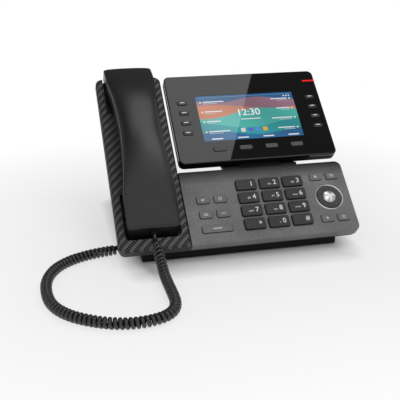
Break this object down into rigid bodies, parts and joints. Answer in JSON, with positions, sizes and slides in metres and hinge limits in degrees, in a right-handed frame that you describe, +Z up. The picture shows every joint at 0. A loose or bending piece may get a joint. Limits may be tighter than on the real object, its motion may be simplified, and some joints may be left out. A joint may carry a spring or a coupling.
{
  "type": "desk ip phone",
  "caption": "Desk phone with tilted slab, handset on a curly cord, keypad, navigation ring and a hinged colour display on a low stand.",
  "frame": {"origin": "on the desk, centred under the phone without its cord", "axes": "+X to the user's right along the keypad, +Y away from the user, +Z up"},
  "size_m": [0.3207, 0.2871, 0.162],
  "materials": {
    "dark_housing": "fine-grained black",
    "grey_panel": "fine-grained dark grey",
    "handset_black": "satin black",
    "dial_key": "satin dark grey with white digits",
    "grey_key": "matte grey",
    "gloss_black": "piano black",
    "screen_glass": "lit colour screen",
    "red_light": "translucent red",
    "bright_rim": "polished",
    "silver_button": "brushed",
    "cord_black": "satin black",
    "plug_clear": "smoky clear",
    "rubber": "matte",
    "steel": "plain",
    "circuit_board": "green board"
  },
  "bodies": {
    "base": {"cradle_cover": "dark_housing", "keypad_panel": "grey_panel", "lower_housing": "dark_housing", "stand": "dark_housing", "stand_feet": "rubber", "main_board": "circuit_board", "keypad_mat": "rubber", "loudspeaker": "steel", "network_jacks": "grey_panel", "housing_screws": "steel", "nav_trim_ring": "bright_rim", "hinge_pin": "steel", "base_plug": "plug_clear", "curly_cord": "cord_black"},
    "handset": {"handset_back_shell": "handset_black", "handset_face_shell": "handset_black", "earpiece_receiver": "steel", "microphone_capsule": "steel", "handset_plug": "plug_clear"},
    "display": {"display_bezel": "gloss_black", "display_rear_housing": "dark_housing", "lcd_module": "screen_glass", "display_board": "circuit_board", "call_light": "red_light"},
    "hook": {"hook_switch": "dark_housing"},
    "nav_ring": {"nav_ring": "grey_key"},
    "ok_button": {"ok_button": "silver_button"},
    "key_star": {"key_star": "dial_key"},
    "key_0": {"key_0": "dial_key"},
    "key_hash": {"key_hash": "dial_key"},
    "key_7": {"key_7": "dial_key"},
    "key_8": {"key_8": "dial_key"},
    "key_9": {"key_9": "dial_key"},
    "key_4": {"key_4": "dial_key"},
    "key_5": {"key_5": "dial_key"},
    "key_6": {"key_6": "dial_key"},
    "key_1": {"key_1": "dial_key"},
    "key_2": {"key_2": "dial_key"},
    "key_3": {"key_3": "dial_key"},
    "left_key_lower_a": {"left_key_lower_a": "grey_key"},
    "left_key_lower_b": {"left_key_lower_b": "grey_key"},
    "left_key_upper_a": {"left_key_upper_a": "grey_key"},
    "left_key_upper_b": {"left_key_upper_b": "grey_key"},
    "left_key_wide": {"left_key_wide": "grey_key"},
    "right_key_lower_a": {"right_key_lower_a": "grey_key"},
    "right_key_lower_b": {"right_key_lower_b": "grey_key"},
    "right_key_upper_a": {"right_key_upper_a": "grey_key"},
    "right_key_upper_b": {"right_key_upper_b": "grey_key"},
    "line_key_left_1": {"line_key_left_1": "grey_key"},
    "line_key_left_2": {"line_key_left_2": "grey_key"},
    "line_key_left_3": {"line_key_left_3": "grey_key"},
    "line_key_left_4": {"line_key_left_4": "grey_key"},
    "line_key_right_1": {"line_key_right_1": "grey_key"},
    "line_key_right_2": {"line_key_right_2": "grey_key"},
    "line_key_right_3": {"line_key_right_3": "grey_key"},
    "line_key_right_4": {"line_key_right_4": "grey_key"},
    "soft_key_1": {"soft_key_1": "grey_key"},
    "soft_key_2": {"soft_key_2": "grey_key"},
    "soft_key_3": {"soft_key_3": "grey_key"},
    "soft_key_4": {"soft_key_4": "grey_key"}
  },
  "joints": [
    {"name": "handset_lift", "type": "slide", "parent": "base", "child": "handset", "axis": [0, -0.6468, 0.7627], "range_m": [0, 0.07], "deforming": ["curly_cord"]},
    {"name": "display_tilt", "type": "hinge", "parent": "base", "child": "display", "pos_m": [0.03655, -0.01203, 0.06716], "axis": [1, 0, 0], "range_deg": [0, 25]},
    {"name": "nav_rock", "type": "hinge", "parent": "base", "child": "nav_ring", "pos_m": [0.0988, -0.05351, 0.04248], "axis": [1, 0, 0], "range_deg": [-3, 3], "stiffness_Nm_per_rad": 0.2},
    {"name": "ok_press", "type": "slide", "parent": "base", "child": "ok_button", "axis": [0, 0.6468, -0.7627], "range_m": [0, 0.0012], "stiffness_N_per_m": 500, "springref_m": -0.0004},
    {"name": "hook_slide", "type": "slide", "parent": "base", "child": "hook", "axis": [0, -0.6468, 0.7627], "range_m": [0, 0.0022]},
    {"name": "key_star_press", "type": "slide", "parent": "base", "child": "key_star", "axis": [0, 0.6468, -0.7627], "range_m": [0, 0.0012], "stiffness_N_per_m": 500, "springref_m": -0.0004},
    {"name": "key_0_press", "type": "slide", "parent": "base", "child": "key_0", "axis": [0, 0.6468, -0.7627], "range_m": [0, 0.0012], "stiffness_N_per_m": 500, "springref_m": -0.0004},
    {"name": "key_hash_press", "type": "slide", "parent": "base", "child": "key_hash", "axis": [0, 0.6468, -0.7627], "range_m": [0, 0.0012], "stiffness_N_per_m": 500, "springref_m": -0.0004},
    {"name": "key_7_press", "type": "slide", "parent": "base", "child": "key_7", "axis": [0, 0.6468, -0.7627], "range_m": [0, 0.0012], "stiffness_N_per_m": 500, "springref_m": -0.0004},
    {"name": "key_8_press", "type": "slide", "parent": "base", "child": "key_8", "axis": [0, 0.6468, -0.7627], "range_m": [0, 0.0012], "stiffness_N_per_m": 500, "springref_m": -0.0004},
    {"name": "key_9_press", "type": "slide", "parent": "base", "child": "key_9", "axis": [0, 0.6468, -0.7627], "range_m": [0, 0.0012], "stiffness_N_per_m": 500, "springref_m": -0.0004},
    {"name": "key_4_press", "type": "slide", "parent": "base", "child": "key_4", "axis": [0, 0.6468, -0.7627], "range_m": [0, 0.0012], "stiffness_N_per_m": 500, "springref_m": -0.0004},
    {"name": "key_5_press", "type": "slide", "parent": "base", "child": "key_5", "axis": [0, 0.6468, -0.7627], "range_m": [0, 0.0012], "stiffness_N_per_m": 500, "springref_m": -0.0004},
    {"name": "key_6_press", "type": "slide", "parent": "base", "child": "key_6", "axis": [0, 0.6468, -0.7627], "range_m": [0, 0.0012], "stiffness_N_per_m": 500, "springref_m": -0.0004},
    {"name": "key_1_press", "type": "slide", "parent": "base", "child": "key_1", "axis": [0, 0.6468, -0.7627], "range_m": [0, 0.0012], "stiffness_N_per_m": 500, "springref_m": -0.0004},
    {"name": "key_2_press", "type": "slide", "parent": "base", "child": "key_2", "axis": [0, 0.6468, -0.7627], "range_m": [0, 0.0012], "stiffness_N_per_m": 500, "springref_m": -0.0004},
    {"name": "key_3_press", "type": "slide", "parent": "base", "child": "key_3", "axis": [0, 0.6468, -0.7627], "range_m": [0, 0.0012], "stiffness_N_per_m": 500, "springref_m": -0.0004},
    {"name": "left_key_lower_a_press", "type": "slide", "parent": "base", "child": "left_key_lower_a", "axis": [0, 0.6468, -0.7627], "range_m": [0, 0.0012], "stiffness_N_per_m": 500, "springref_m": -0.0004},
    {"name": "left_key_lower_b_press", "type": "slide", "parent": "base", "child": "left_key_lower_b", "axis": [0, 0.6468, -0.7627], "range_m": [0, 0.0012], "stiffness_N_per_m": 500, "springref_m": -0.0004},
    {"name": "left_key_upper_a_press", "type": "slide", "parent": "base", "child": "left_key_upper_a", "axis": [0, 0.6468, -0.7627], "range_m": [0, 0.0012], "stiffness_N_per_m": 500, "springref_m": -0.0004},
    {"name": "left_key_upper_b_press", "type": "slide", "parent": "base", "child": "left_key_upper_b", "axis": [0, 0.6468, -0.7627], "range_m": [0, 0.0012], "stiffness_N_per_m": 500, "springref_m": -0.0004},
    {"name": "left_key_wide_press", "type": "slide", "parent": "base", "child": "left_key_wide", "axis": [0, 0.6468, -0.7627], "range_m": [0, 0.0012], "stiffness_N_per_m": 500, "springref_m": -0.0004},
    {"name": "right_key_lower_a_press", "type": "slide", "parent": "base", "child": "right_key_lower_a", "axis": [0, 0.6468, -0.7627], "range_m": [0, 0.0012], "stiffness_N_per_m": 500, "springref_m": -0.0004},
    {"name": "right_key_lower_b_press", "type": "slide", "parent": "base", "child": "right_key_lower_b", "axis": [0, 0.6468, -0.7627], "range_m": [0, 0.0012], "stiffness_N_per_m": 500, "springref_m": -0.0004},
    {"name": "right_key_upper_a_press", "type": "slide", "parent": "base", "child": "right_key_upper_a", "axis": [0, 0.6468, -0.7627], "range_m": [0, 0.0012], "stiffness_N_per_m": 500, "springref_m": -0.0004},
    {"name": "right_key_upper_b_press", "type": "slide", "parent": "base", "child": "right_key_upper_b", "axis": [0, 0.6468, -0.7627], "range_m": [0, 0.0012], "stiffness_N_per_m": 500, "springref_m": -0.0004},
    {"name": "line_key_left_1_press", "type": "slide", "parent": "display", "child": "line_key_left_1", "axis": [0, 0.6468, -0.7627], "range_m": [0, 0.0008], "stiffness_N_per_m": 500, "springref_m": -0.0004},
    {"name": "line_key_left_2_press", "type": "slide", "parent": "display", "child": "line_key_left_2", "axis": [0, 0.6468, -0.7627], "range_m": [0, 0.0008], "stiffness_N_per_m": 500, "springref_m": -0.0004},
    {"name": "line_key_left_3_press", "type": "slide", "parent": "display", "child": "line_key_left_3", "axis": [0, 0.6468, -0.7627], "range_m": [0, 0.0008], "stiffness_N_per_m": 500, "springref_m": -0.0004},
    {"name": "line_key_left_4_press", "type": "slide", "parent": "display", "child": "line_key_left_4", "axis": [0, 0.6468, -0.7627], "range_m": [0, 0.0008], "stiffness_N_per_m": 500, "springref_m": -0.0004},
    {"name": "line_key_right_1_press", "type": "slide", "parent": "display", "child": "line_key_right_1", "axis": [0, 0.6468, -0.7627], "range_m": [0, 0.0008], "stiffness_N_per_m": 500, "springref_m": -0.0004},
    {"name": "line_key_right_2_press", "type": "slide", "parent": "display", "child": "line_key_right_2", "axis": [0, 0.6468, -0.7627], "range_m": [0, 0.0008], "stiffness_N_per_m": 500, "springref_m": -0.0004},
    {"name": "line_key_right_3_press", "type": "slide", "parent": "display", "child": "line_key_right_3", "axis": [0, 0.6468, -0.7627], "range_m": [0, 0.0008], "stiffness_N_per_m": 500, "springref_m": -0.0004},
    {"name": "line_key_right_4_press", "type": "slide", "parent": "display", "child": "line_key_right_4", "axis": [0, 0.6468, -0.7627], "range_m": [0, 0.0008], "stiffness_N_per_m": 500, "springref_m": -0.0004},
    {"name": "soft_key_1_press", "type": "slide", "parent": "display", "child": "soft_key_1", "axis": [0, 0.6468, -0.7627], "range_m": [0, 0.0008], "stiffness_N_per_m": 500, "springref_m": -0.0004},
    {"name": "soft_key_2_press", "type": "slide", "parent": "display", "child": "soft_key_2", "axis": [0, 0.6468, -0.7627], "range_m": [0, 0.0008], "stiffness_N_per_m": 500, "springref_m": -0.0004},
    {"name": "soft_key_3_press", "type": "slide", "parent": "display", "child": "soft_key_3", "axis": [0, 0.6468, -0.7627], "range_m": [0, 0.0008], "stiffness_N_per_m": 500, "springref_m": -0.0004},
    {"name": "soft_key_4_press", "type": "slide", "parent": "display", "child": "soft_key_4", "axis": [0, 0.6468, -0.7627], "range_m": [0, 0.0008], "stiffness_N_per_m": 500, "springref_m": -0.0004}
  ],
  "couplings": [
    {"joint": "hook_slide", "follows": "handset_lift", "ratio": 0.031428}
  ]
}
